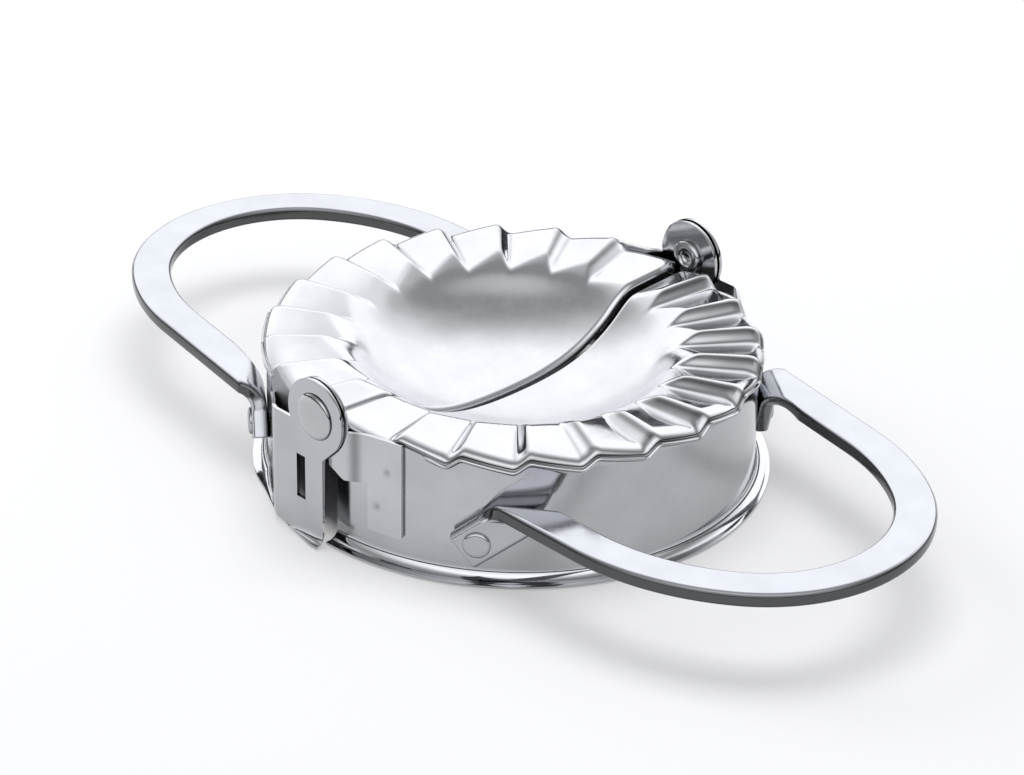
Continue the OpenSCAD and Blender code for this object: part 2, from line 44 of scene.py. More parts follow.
# Sizes are in millimetres until finish_mesh scales them, and angles in degrees.
sheet = 0.6
half_shift = 1.4
skirt_r = 38.4
edge_r = 36.2
valley_z = 21.0
crimp_h = 1.8
dish_r = 24.3
dish_top = 20.2
dish_depth = 8.1
bowl_share = 0.37
shoulder_slope = 0.5
crimp_tilt = 0.05
blend_w = 6
lip_out = 2.4
flare_h = 2.4
round_share = 0.7
crimped_z = 18.2
wall_top = 15.4
tab_h = 20.2
ridge_count = 11
first_deg = 18.1
end_deg = 7.9
steep_deg = 3.3
pitch = (180 - first_deg - end_deg) / (ridge_count - 1)
leave_deg = 149.5
tab_y = 41.6
crease_x = 10
tab_end_x = -1.6
axis_z = 22.5
ear_r = 6.2
chin_z = 15.33
bore_r = 1.95
slot_x, slot_w, slot_z, slot_h = 2.4, 2.0, 6.8, 7.6
seam_turn_w, seam_turn_h = 0.8, 1.5


def saw(deg):
    """Share of the crimp height at an angle from the strap end of the seam."""
    if deg <= first_deg - steep_deg:
        return 0.6 * (1 - max(deg, 0) / (first_deg - steep_deg))
    if deg >= 180 - end_deg:
        return 1 - 0.85 * min(deg - 180 + end_deg, end_deg) / end_deg
    v = (deg - first_deg + steep_deg) % pitch
    if v < steep_deg:
        return v / steep_deg
    return 1 - (v - steep_deg) / (pitch - steep_deg)


def crimp_at(deg):
    """The same with the ridges and valleys rounded, as sheet bends."""
    return sum(saw(deg + 0.22 * k) for k in range(-3, 4)) / 7


def smooth_step(t):
    t = max(0.0, min(1.0, t))
    return t * t * (3 - 2 * t)


def soft_min(a, b, round_h):
    """The lower of two heights, with the corner between them rounded."""
    return (a + b - math.sqrt((a - b) ** 2 + round_h ** 2)) / 2


def bowl_z(q):
    """Height of the dish at a share of its radius."""
    depth = bowl_share * q * q + (1 - bowl_share) * q ** 4
    return dish_top - dish_depth + dish_depth * depth


def seam_angle(co):
    """Angle of a point round the dish, from the strap end of the seam."""
    return math.degrees(math.atan2(co.y, co.x)) + 90


def stamp(co):
    """Moves a point of the plain turned shell to where the crimping tool puts it."""
    r = math.hypot(co.x, co.y)
    if r < dish_r - blend_w:
        return
    deg = seam_angle(co)
    lift = crimp_h * crimp_at(deg)
    if r <= edge_r:
        bowl = bowl_z(r / dish_r)
        shoulder = dish_top + shoulder_slope * (r - dish_r)
        top = valley_z + lift - crimp_tilt * (edge_r - r)
        rounded = soft_min(bowl, shoulder, 0.9)
        ground = bowl + (rounded - bowl) * smooth_step((r - dish_r + blend_w) / 4)
        co.z = soft_min(ground, top, 0.35)
        return
    near_end = min(deg, 180 - deg)
    reach = smooth_step((near_end - 22) / 10)
    if r > skirt_r and co.z > crimped_z:
        k = (skirt_r + (r - skirt_r) * reach) / r
        co.x *= k
        co.y *= k
    if co.z > crimped_z:
        co.z += lift * min(1.0, (co.z - crimped_z) / 0.6)


def section():
    """Outer line of the stamping as radius and height, from the middle to the lip."""
    line = []
    for q in [k / 16 for k in range(14)] + [0.84 + 0.02 * k for k in range(9)]:
        line.append((dish_r * q, bowl_z(q)))
    line += [(dish_r + (edge_r - dish_r) * k / 22, valley_z) for k in range(1, 23)]
    rim = [(-1.7, 0.01), (-1.3, 0.05), (-0.9, 0.13), (-0.5, 0.27), (-0.15, 0.47),
           (0.12, 0.72), (0.25, 0.95), (0.3, 1.15), (0.33, 1.28), (0.42, 1.36), (0.58, 1.42),
           (0.72, 1.5), (0.8, 1.62), (0.78, 1.75), (0.6, 1.87), (0.35, 1.98), (0.12, 2.12),
           (0, 2.3)]
    line += [(skirt_r + a, valley_z - b) for a, b in rim]
    line += [(skirt_r, 18.55), (skirt_r, crimped_z)]
    line += [(skirt_r, wall_top + (flare_h - wall_top) * k / 6) for k in range(6)]
    for k in range(9):
        a = math.radians(90 * k / 8)
        line.append((skirt_r + round_share * lip_out * (1 - math.cos(a)),
                     sheet + (flare_h - sheet) * (1 - math.sin(a))))
    return line + [(skirt_r + lip_out, sheet)]


flare_row = len(section()) - 10
wall_row = flare_row - 6
# Painted shade in the groove under the rim: how dark each row of the section is painted.
groove = {wall_row - 15: 0.25, wall_row - 14: 0.75, wall_row - 13: 1.0, wall_row - 12: 1.0,
          wall_row - 11: 0.9, wall_row - 10: 0.35}


def tab_stations():
    """Plan of the hinge tab: point, outward direction, height of its top edge and share
    of the flare, from where it leaves the skirt to the start of the flat."""
    turn = math.radians(leave_deg - 90)
    start = Vector((skirt_r * math.cos(turn), skirt_r * math.sin(turn)))
    crease = Vector((crease_x - half_shift, tab_y))
    run = crease - start
    n = Vector((-run.y, run.x)).normalized()
    n = n if n.y > 0 else -n
    face = Vector((0, 1))
    along = run.normalized()
    out = [(start + run * 0.12, n, 16.2, 0.85), (start + run * 0.35, n, 17.8, 0.5),
           (start + run * 0.7, n, 19.3, 0.1)]
    for k in range(5):
        q = k / 4
        p = crease * 2 * q * (1 - q) + (crease - along) * (1 - q) ** 2 \
            + (crease + Vector((-1, 0))) * q * q
        out.append((p, (n * (1 - q) + face * q).normalized(), tab_h, -0.2))
    return out


def rotate(bm, deg, axis, verts=None):
    """Turns a mesh, or only some of its points, about an axis through the origin."""
    bmesh.ops.rotate(bm, verts=verts or bm.verts, cent=(0, 0, 0),
                     matrix=Matrix.Rotation(math.radians(deg), 3, axis))


def stamped_half():
    bm = bmesh.new()
    row = bm.verts.layers.int.new("row")
    profile = section()
    line = [bm.verts.new((0, -r, z)) for r, z in profile]
    for k, v in enumerate(line):
        v[row] = k
    edges = [bm.edges.new(pair) for pair in zip(line, line[1:])]
    bmesh.ops.spin(bm, geom=line + edges, cent=(0, 0, 0), axis=(0, 0, 1),
                   angle=math.pi, steps=360, use_merge=False)
    bmesh.ops.remove_doubles(bm, verts=bm.verts, dist=0.0005)

    # The wall is cut away where the tab is bent off it.
    beyond = [f for f in bm.faces if f.calc_center_median().z < wall_top
              and f.calc_center_median().to_2d().length > skirt_r - 1
              and seam_angle(f.calc_center_median()) > leave_deg]
    bmesh.ops.delete(bm, geom=beyond, context="FACES")
    for v in bm.verts:
        stamp(v.co)

    # The edge along the seam is turned down.
    seam = [e for e in bm.edges if e.is_boundary and all(
        abs(v.co.x) < 0.001 and abs(v.co.y) < skirt_r - 1.2 for v in e.verts)]
    past = (0.0, 0.0)
    for k in range(1, 6):
        a = math.pi / 2 * k / 5
        step = (seam_turn_w * math.sin(a), seam_turn_h * (1 - math.cos(a)))
        made = bmesh.ops.extrude_edge_only(bm, edges=seam)["geom"]
        bmesh.ops.translate(bm, vec=(past[0] - step[0], 0, past[1] - step[1]),
                            verts=[g for g in made if isinstance(g, bmesh.types.BMVert)])
        seam = [g for g in made if isinstance(g, bmesh.types.BMEdge)
                and len(g.link_faces) == 1]
        seam = [e for e in seam if all(v.co.x < past[0] * -1 - 0.0005 for v in e.verts)]
        past = step

    # For the tab, the cut edge of the wall is drawn out, station by station.
    drawn = [e for e in bm.edges if e.is_boundary and all(
        v.co.z < wall_top + 0.01 and abs(seam_angle(v.co) - leave_deg) < 0.05
        for v in e.verts)]
    for p, n, top, share in tab_stations():
        made = bmesh.ops.extrude_edge_only(bm, edges=drawn)["geom"]
        rows = [g for g in made if isinstance(g, bmesh.types.BMVert)]
        drawn = [g for g in made if isinstance(g, bmesh.types.BMEdge)
                 and g.verts[0] in rows and g.verts[1] in rows]
        for v in rows:
            r, z = profile[v[row]]
            out = share * (r - skirt_r)
            if v[row] <= flare_row:
                z = flare_h + (z - flare_h) * (top - flare_h) / (wall_top - flare_h)
            v.co = (p.x + n.x * out, p.y + n.y * out, z)
    low = [e for e in drawn if all(v[row] >= flare_row for v in e.verts)]
    column = sorted({v.co.z for e in drawn for v in e.verts if v[row] <= flare_row})
    foot_x = [x - half_shift for x in (6, 3, 0, tab_end_x)]
    for x in foot_x:
        made = bmesh.ops.extrude_edge_only(bm, edges=low)["geom"]
        rows = [g for g in made if isinstance(g, bmesh.types.BMVert)]
        low = [g for g in made if isinstance(g, bmesh.types.BMEdge)
               and g.verts[0] in rows and g.verts[1] in rows]
        share = -0.2 + 0.783 * min(1.0, (crease_x - half_shift - x) / crease_x)
        for v in rows:
            r, z = profile[v[row]]
            v.co = (x, tab_y + share * (r - skirt_r), z)

    # The flat of the tab has a round ear, a rivet bore and a slot.
    side_x = crease_x - 1 - half_shift
    outline = [(side_x, z) for z in column]
    start = -math.asin((axis_z - tab_h) / ear_r)
    for k in range(49):
        a = start + (math.radians(225) - start) * k / 48
        outline.append((ear_r * math.cos(a) - half_shift, axis_z + ear_r * math.sin(a)))
    outline += [(tab_end_x - half_shift, chin_z)] + [(x, flare_h) for x in reversed(foot_x)]
    slot = [(slot_x, slot_z), (slot_x + slot_w, slot_z),
            (slot_x + slot_w, slot_z + slot_h), (slot_x, slot_z + slot_h)]
    loops = [outline, [(x - half_shift, z) for x, z in slot]]
    flat = bmesh.new()
    for loop in loops:
        ring = [flat.verts.new((x, tab_y, z)) for x, z in loop]
        for a, b in zip(ring, ring[1:] + ring[:1]):
            flat.edges.new((a, b))
    bore = bmesh.ops.create_circle(flat, segments=32, radius=bore_r)["verts"]
    rotate(flat, 90, "X", bore)
    bmesh.ops.translate(flat, verts=bore, vec=(-half_shift, tab_y, axis_z))
    bmesh.ops.triangle_fill(flat, use_beauty=True, use_dissolve=False, edges=flat.edges,
                            normal=(0, 1, 0))
    part = bpy.data.meshes.new("flat")
    flat.to_mesh(part)
    flat.free()
    bm.from_mesh(part)
    bpy.data.meshes.remove(part)
    bmesh.ops.remove_doubles(bm, verts=bm.verts, dist=0.002)

    # Painted shade: the groove under the rim, and thin lines at the foot and along the brow of
    # each crimp, are darkened where their shade and dark reflections fall.
    # Behind the tab the sheet keeps its dull mill surface, marked with numbers below zero.
    painted_shade_and_dullness = bm.verts.layers.float.new("painted_shade_and_dullness")
    for v in bm.verts:
        r = v.co.to_2d().length
        deg = seam_angle(v.co)
        if not 0 < deg < 180 or v.co.z < wall_top + 0.1:
            continue
        if r > skirt_r - 0.7:
            dark = groove.get(v[row], 0) * (0.55 + 0.45 * crimp_at(deg))
            behind = smooth_step((deg - 150) / 5) if r < skirt_r + 0.25 else 0
            v[painted_shade_and_dullness] = dark * smooth_step((150 - deg) / 8) - behind
        elif dish_r + 2 < r and first_deg - 5 < deg < 180 - end_deg + 1:
            past = (deg - first_deg + steep_deg + pitch / 2) % pitch - pitch / 2
            foot = 0.35 * max(0.0, 1 - abs(past) / 0.75)
            brow = 0.8 * max(0.0, 1 - abs(past - 0.72 * steep_deg) / 1.1)
            v[painted_shade_and_dullness] = max(foot, brow) * smooth_step((r - dish_r - 2) / 3)
    bmesh.ops.translate(bm, verts=bm.verts, vec=(half_shift, 0, 0))
    return bm


def as_object(bm, name):
    """Makes the object of a finished mesh and puts it in the scene."""
    mesh = bpy.data.meshes.new(name)
    bm.to_mesh(mesh)
    bm.free()
    obj = bpy.data.objects.new(name, mesh)
    bpy.context.scene.collection.objects.link(obj)
    return obj


def finish_mesh(bm, name, inward=None):
    """Turns the faces outwards, scales millimetres to metres and makes the object."""
    bmesh.ops.recalc_face_normals(bm, faces=bm.faces)
    if inward and inward(bm):
        bmesh.ops.reverse_faces(bm, faces=bm.faces)
    bmesh.ops.scale(bm, vec=(0.001, 0.001, 0.001), verts=bm.verts)
    for f in bm.faces:
        f.smooth = True
    return as_object(bm, name)


def soften_edges(obj, width, segments=2):
    """A small rounding on every sharp edge, with the flats kept flat."""
    bevel = obj.modifiers.new("edge_rounding", "BEVEL")
    bevel.width = width
    bevel.segments = segments
    bevel.limit_method = "ANGLE"
    bevel.angle_limit = math.radians(50)
    normals = obj.modifiers.new("flat_faces", "WEIGHTED_NORMAL")
    normals.keep_sharp = True


def calc(tree, operation, *values):
    """The result of a calculation with one or two outputs of other nodes."""
    node = tree.nodes.new("ShaderNodeMath")
    node.operation = operation
    for value, socket in zip(values, node.inputs):
        tree.links.new(value, socket)
    return node.outputs[0]


def vector_node(tree, operation, vector):
    """A node that calculates with a vector, the output of another node."""
    node = tree.nodes.new("ShaderNodeVectorMath")
    node.operation = operation
    tree.links.new(vector, node.inputs[0])
    return node


def map_range(tree, value, lows, highs):
    """A value where the first of lows becomes the first of highs, and the second of lows
    the second of highs."""
    node = tree.nodes.new("ShaderNodeMapRange")
    for name, number in zip(("From Min", "From Max", "To Min", "To Max"), (*lows, *highs)):
        node.inputs[name].default_value = number
    tree.links.new(value, node.inputs["Value"])
    return node.outputs["Result"]


def noise(tree, place, scale, detail):
    node = tree.nodes.new("ShaderNodeTexNoise")
    node.inputs["Scale"].default_value = scale
    node.inputs["Detail"].default_value = detail
    tree.links.new(place, node.inputs["Vector"])
    return node.outputs["Fac"]


def bump(tree, height, strength, distance):
    node = tree.nodes.new("ShaderNodeBump")
    node.inputs["Strength"].default_value = strength
    node.inputs["Distance"].default_value = distance
    tree.links.new(height, node.inputs["Height"])
    return node


def tone_ramp(tree, value, tones):
    """Colours from four pairs of a value and its colour, with soft steps between them."""
    node = tree.nodes.new("ShaderNodeValToRGB")
    stops = node.color_ramp.elements
    node.color_ramp.interpolation = "EASE"
    for k, (at, tone) in enumerate(tones):
        stop = stops[k] if k < 2 else stops.new(at)
        stop.position = at
        stop.color = (*tone, 1)
    tree.links.new(value, node.inputs["Fac"])
    return node.outputs["Color"]


def metal(name, colour, upright_shade_colour, underside_shade_colour, rough, spread, wobble, grain, satin=0.0):
    """Bright metal with painted shade. colour is that of faces that look up; the next colour,
    of upright faces, and the one after, of faces that look down, are darker: painted shade and
    dark reflection on sides and undersides. A point attribute of the mesh paints more shade
    where it is above zero and makes the steel rougher where it is below zero. spread: how much
    the gloss changes over the surface. wobble: slow waves that bend reflections. grain: (scale
    along X, Y, Z) of the fine polishing lines. satin: how much duller the middle of the dish
    is."""
    mat = bpy.data.materials.new(name)
    mat.use_nodes = True
    tree = mat.node_tree
    nodes, links = tree.nodes, tree.links
    shader = nodes["Principled BSDF"]
    shader.inputs["Metallic"].default_value = 1.0
    place = nodes.new("ShaderNodeTexCoord")
    facing = nodes.new("ShaderNodeSeparateXYZ")
    links.new(place.outputs["Normal"], facing.inputs[0])
    # Painted shade: the colour darkens from faces that look up to upright faces and to faces
    # that look down.
    upright = map_range(tree, facing.outputs["Z"], (-1, 1), (0, 1))
    tones = tone_ramp(tree, upright, ((0.15, underside_shade_colour), (0.42, upright_shade_colour),
                                      (0.56, upright_shade_colour), (0.82, colour)))
    cloud = noise(tree, place.outputs["Object"], 140, 3)
    tint = vector_node(tree, "SCALE", tones)
    links.new(map_range(tree, cloud, (0.25, 0.75), (0.94, 1.06)), tint.inputs["Scale"])
    # Painted shade: where the mesh's point attribute is above zero it darkens the colour, down
    # to a tenth.
    marks = nodes.new("ShaderNodeAttribute")
    marks.attribute_name = "painted_shade_and_dullness"
    shade = vector_node(tree, "SCALE", tint.outputs["Vector"])
    links.new(map_range(tree, marks.outputs["Fac"], (0, 1), (1, 0.1)), shade.inputs["Scale"])
    links.new(shade.outputs["Vector"], shader.inputs["Base Color"])
    stretch = nodes.new("ShaderNodeMapping")
    stretch.inputs["Scale"].default_value = grain
    links.new(place.outputs["Object"], stretch.inputs["Vector"])
    lines = noise(tree, stretch.outputs["Vector"], 900, 2)
    gloss = map_range(tree, lines, (0.3, 0.7), (rough - spread, rough + spread))
    flat = vector_node(tree, "MULTIPLY", place.outputs["Object"])
    flat.inputs[1].default_value = (1, 1, 0)
    far = vector_node(tree, "LENGTH", flat.outputs["Vector"])
    dish = map_range(tree, far.outputs["Value"], (0.021, 0.0275), (satin, 0))
    raw = map_range(tree, marks.outputs["Fac"], (0, -1), (0, 0.55))
    links.new(calc(tree, "ADD", calc(tree, "ADD", gloss, dish), raw),
              shader.inputs["Roughness"])
    wave = bump(tree, noise(tree, place.outputs["Object"], 95, 1.5), 1, wobble)
    fine = bump(tree, lines, 0.03, 0.00003)
    links.new(wave.outputs["Normal"], fine.inputs["Normal"])
    links.new(fine.outputs["Normal"], shader.inputs["Normal"])
    return mat


# Painted shade: the second and third colours darken upright faces and faces that look down.
shell_steel = metal("stamped_steel", (0.9, 0.905, 0.93), (0.46, 0.465, 0.48), (0.2, 0.2, 0.22),
                    0.1, 0.03, 0.0001, (1, 1, 0.08), satin=0.14)


def hangs_inside_out(bm):
    """True where the middle of the dish faces the bench."""
    bm.faces.ensure_lookup_table()
    low = min(bm.faces, key=lambda f: f.calc_center_median().to_2d().length
              + 10 * (f.calc_center_median().z < 5))
    return low.normal.z < 0


for side in ("right", "left"):
    half = stamped_half()
    if side == "left":
        rotate(half, 180, "Z")
    shell = finish_mesh(half, side + "_stamping", hangs_inside_out)
    wall = shell.modifiers.new("sheet_thickness", "SOLIDIFY")
    wall.thickness = sheet * 0.001
    wall.offset = -1.0
    wall.use_even_offset = True
    wall.thickness_clamp = 1.0
    soften_edges(shell, 0.00012)
    shell.data.materials.append(shell_steel)
    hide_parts(side + "_shell")
    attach(shell, side + "_half")

# Hinge straps. A strap is a small plate of the same sheet, spot-welded outside the skirt,
# with an arm that is bent out to a round ear. Two weld dimples show on the plate.
weld_gap = 0.03


def strap_plate():
    """The strap of the right half, at the front: drawn flat, then bent round its creases."""
    ear = 6.1
    ear_y = 40.6
    bend_x = 5.4
    arm_low, plate_low, plate_top = 13.2, 5.0, 21.6
    plate_turn = math.asin((11.2 - half_shift) / skirt_r)
    along = Vector((math.cos(plate_turn), math.sin(plate_turn)))
    out = Vector((along.y, -along.x))
    near = Vector((half_shift, 0)) + out * (skirt_r + weld_gap + sheet) - along * 3.2
    crease = Vector((bend_x, -ear_y))
    slant = near - crease
    bends = ((bend_x, math.atan2(slant.y, slant.x)), (bend_x + slant.length, plate_turn))
    far_s = bends[1][0] + 6.4
    near_s = bends[1][0] + 0.2
    outline = [(far_s, plate_top)]
    first = -math.asin(0.9 / ear)
    for k in range(45):
        a = first + (math.radians(233.7) - first) * k / 44
        outline.append((ear * math.cos(a), axis_z + ear * math.sin(a)))
    outline += [(0, 15.5), (bend_x, arm_low), (near_s, arm_low), (near_s, plate_low + 0.3),
                (near_s + 0.3, plate_low), (far_s - 0.4, plate_low), (far_s, plate_low + 0.4)]
    bm = bmesh.new()
    painted_shade_and_dullness = bm.verts.layers.float.new("painted_shade_and_dullness")
    ring = [bm.verts.new((x, 0, z)) for x, z in outline]
    for a, b in zip(ring, ring[1:] + ring[:1]):
        bm.edges.new((a, b))
    bore = bmesh.ops.create_circle(bm, segments=32, radius=bore_r)["verts"]
    rotate(bm, 90, "X", bore)
    bmesh.ops.translate(bm, verts=bore, vec=(0, 0, axis_z))
    bmesh.ops.triangle_fill(bm, use_beauty=True, use_dissolve=False, edges=bm.edges,
                            normal=(0, -1, 0))
    cuts = [((4.0 + 0.3 * k, 0, 0), (1, 0, 0)) for k in range(int((far_s - 4.1) / 0.3) + 1)]
    cuts += [((0, 0, 5.4 + 0.45 * k), (0, 0, 1)) for k in range(36)]
    for at, normal in cuts:
        bmesh.ops.bisect_plane(bm, geom=list(bm.verts) + list(bm.edges) + list(bm.faces),
                               dist=0.0001, plane_co=at, plane_no=normal)
    bmesh.ops.remove_doubles(bm, verts=bm.verts, dist=0.03)
    bmesh.ops.dissolve_degenerate(bm, dist=0.02, edges=bm.edges)
    dimples = ((far_s - 2.7, 16.1), (far_s - 4.6, 9.5))
    soft = 1.1
    stride, path_steps = 0.025, 800

    def heading(x):
        turn = 0.0
        for at, angle in bends:
            turn += (angle - turn) * smooth_step((x - at + soft) / (2 * soft))
        return turn
    path = [Vector((0, -ear_y))]
    for k in range(path_steps):
        a = heading(stride * (k + 0.5))
        path.append(path[-1] + stride * Vector((math.cos(a), math.sin(a))))
    for v in bm.verts:
        x, z = v.co.x, v.co.z
        dent = sum(0.22 * math.exp(-((x - dx) ** 2 + (z - dz) ** 2) / 0.35)
                   for dx, dz in dimples)
        middle = (bends[0][0] + bends[1][0]) / 2
        # Painted shade: darker across the bent joggle between the two creases and in the two
        # weld dimples.
        v[painted_shade_and_dullness] = 0.55 * smooth_step(1 - abs(x - middle) / 1.5) + min(0.4, dent * 2)
        if x <= 0:
            v.co.y = -ear_y
            continue
        a = heading(x)
        p = path[min(int(round(x / stride)), path_steps)]
        v.co = (p.x - math.sin(a) * dent, p.y + math.cos(a) * dent, z)
    return bm


# Painted shade: the second and third colours darken upright faces and faces that look down.
strap_steel = metal("strap_steel", (0.8, 0.805, 0.82), (0.5, 0.505, 0.52), (0.2, 0.2, 0.22),
                    0.12, 0.03, 0.00005, (1, 1, 0.08))
for side in ("right", "left"):
    bm = strap_plate()
    if side == "left":
        rotate(bm, 180, "Z")
    strap = finish_mesh(bm, side + "_strap_plate", lambda b: (
        sum(f.normal.y * f.calc_area() for f in b.faces) > 0) == (side == "right"))
    plate = strap.modifiers.new("sheet_thickness", "SOLIDIFY")
    plate.thickness = sheet * 0.001
    plate.offset = -1.0
    soften_edges(strap, 0.0001)
    strap.data.materials.append(strap_steel)
    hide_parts(side + "_hinge_strap")
    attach(strap, side + "_half")


# Hinge rivets. Semi-tubular steel rivets: a low domed head outside the ears, and a hollow
# end that is rolled over inside. They are plain bright steel, a little darker.
def turned(profile, steps=64, shaded_rows=()):
    """A turned piece about its own Z axis from radius and height, bottom to top. Its last
    argument holds pairs of a point's number in the profile and how much painted shade darkens
    it there."""
    bm = bmesh.new()
    painted_shade_and_dullness = bm.verts.layers.float.new("painted_shade_and_dullness")
    line = [bm.verts.new((r, 0, z)) for r, z in profile]
    for k, dark in shaded_rows:
        line[k][painted_shade_and_dullness] = dark
    edges = [bm.edges.new(pair) for pair in zip(line, line[1:])]
    bmesh.ops.spin(bm, geom=line + edges, cent=(0, 0, 0), axis=(0, 0, 1),
                   angle=2 * math.pi, steps=steps, use_merge=True)
    bmesh.ops.remove_doubles(bm, verts=bm.verts, dist=0.0005)
    return bm


# Painted shade: the second and third colours darken upright faces and faces that look down.
rivet_steel = metal("rivet_steel", (0.74, 0.745, 0.76), (0.46, 0.465, 0.475),
                    (0.12, 0.12, 0.14), 0.14, 0.04, 0.00004, (1, 1, 1))
head_line = [(0, 0.9)] + [(3.8 * math.sin(math.radians(a)),
             0.9 - 0.75 * (1 - math.cos(math.radians(a)))) for a in range(6, 85, 6)]
head_line += [(3.88, 0.05), (3.8, 0.0), (1.9, 0.0)]
rolled_line = [(1.9, -1.6), (2.5, -1.62), (2.8, -1.75), (2.9, -2.0), (2.82, -2.28),
               (2.55, -2.46), (2.1, -2.5), (1.65, -2.42), (1.4, -2.2), (1.3, -1.9),
               (1.3, -1.75), (0, -1.7)]
for end, turn in (("front", 0), ("back", 180)):
    # Painted shade: a dark ring round the edge of the head, where it meets the ear.
    bm = turned(list(reversed(rolled_line)) + list(reversed(head_line)),
                shaded_rows=((12, 0.8), (13, 0.9), (14, 0.9), (15, 0.6)))
    rotate(bm, 90, "X")
    bmesh.ops.translate(bm, verts=bm.verts, vec=(0, -tab_y, axis_z))
    rotate(bm, turn, "Z")
    rivet = finish_mesh(bm, end + "_hinge_rivet_turned")
    rivet.data.materials.append(rivet_steel)
    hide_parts(end + "_hinge_rivet")
    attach(rivet, "left_half")

# Hinge washers. Thin flat rings between the two ears of each hinge, of plain steel.
# Painted shade: the second and third colours darken upright faces and faces that look down.
washer_steel = metal("washer_steel", (0.3, 0.3, 0.32), (0.15, 0.15, 0.16), (0.1, 0.1, 0.1),
                     0.3, 0.05, 0.00002, (1, 1, 1))
for end in ("front", "back"):
    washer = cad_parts[end + "_hinge_washer"]
    washer.data.materials.clear()
    washer.data.materials.append(washer_steel)

# Handles. Each is one flat bar of stainless steel with rounded edges, bent edgewise to a
# loop, with both ends folded down to feet that lie on the skirt.
bar_w = 6.6
bar_t = 2.5
bar_top = 14.9
rivet_z = 7.8
foot_end = 2.9
strap_foot_deg, strap_fold_r = 52.2, 0.6
tab_foot_deg, tab_fold_r = 53.0, 2.0
face_in = skirt_r + weld_gap
handle_reach = 80.8
tip_r = 24.5
tip_c = Vector((handle_reach - half_shift - bar_w / 2 - tip_r, 0))


def bar_half(deg, lean, spread, fold_r, side_r, steps=10):
    """Middle line of half a handle from its foot to the tip, seen from the middle of the
    half shell: points and the direction across the bar. Angles in degrees."""
    deg, lean, spread = (math.radians(a) for a in (deg, lean, spread))
    fold_at = face_in + bar_t + fold_r
    bend = (fold_r + bar_t / 2) * math.pi / 2
    upright = bar_top - bar_t - fold_r - rivet_z

    def heading(slant):
        return Vector((math.cos(deg - slant), math.sin(deg - slant)))
    skew = deg + spread
    rivet_p = (fold_at - bend - upright) * heading(0)
    foot_dir = heading(lean)
    along_fold = Vector((-math.sin(deg), math.cos(deg)))
    out = [(rivet_p - foot_dir * foot_end, Vector((-foot_dir.y, foot_dir.x)))]
    p = rivet_p + foot_dir * upright / math.cos(lean)
    out.append((p.copy(), along_fold / math.cos(lean)))
    for k in range(steps):
        a = lean + (skew - lean) * k / steps
        b = lean + (skew - lean) * (k + 1) / steps
        mid = (a + b) / 2
        p = p + heading(mid) * (bend / steps) / math.cos(mid)
        out.append((p.copy(), along_fold / math.cos(b)))
    leg = Vector((math.cos(spread), -math.sin(spread)))
    across = Vector((math.sin(spread), math.cos(spread)))
    out.append((p + leg * (bar_w / 2 * math.tan(skew) + 0.3), across))
    arc = p - side_r * across
    to_tip = arc - tip_c
    b = to_tip.dot(leg)
    arc += leg * (-b - math.sqrt(b * b - to_tip.dot(to_tip) + (side_r - tip_r) ** 2))
    join = math.atan2(-arc.y, tip_c.x - arc.x)
    for k in range(17):
        g = math.pi / 2 - spread + (join - math.pi / 2 + spread) * k / 16
        d = Vector((math.cos(g), math.sin(g)))
        out.append((arc + side_r * d, d))
    for k in range(1, 17):
        g = join * (1 - k / 16)
        d = Vector((math.cos(g), math.sin(g)))
        out.append((tip_c + tip_r * d, d))
    return out


def folded(p, h, deg, fold_r):
    """A point of the flat bar at height h, folded down the wall where it is past the
    fold line of its foot."""
    n = Vector((math.cos(math.radians(deg)), math.sin(math.radians(deg))))
    fold_at = face_in + bar_t + fold_r
    run = fold_at - p.dot(n)
    if run <= 0 or p.x > fold_at:
        return Vector((p.x, p.y, bar_top - bar_t + h))
    turn = min(run / (fold_r + bar_t / 2), math.pi / 2)
    rho = fold_r + h
    q = p - n * p.dot(n) + n * (fold_at - rho * math.sin(turn))
    z = bar_top - bar_t - fold_r + rho * math.cos(turn)
    return Vector((q.x, q.y, z - max(run - (fold_r + bar_t / 2) * math.pi / 2, 0)))


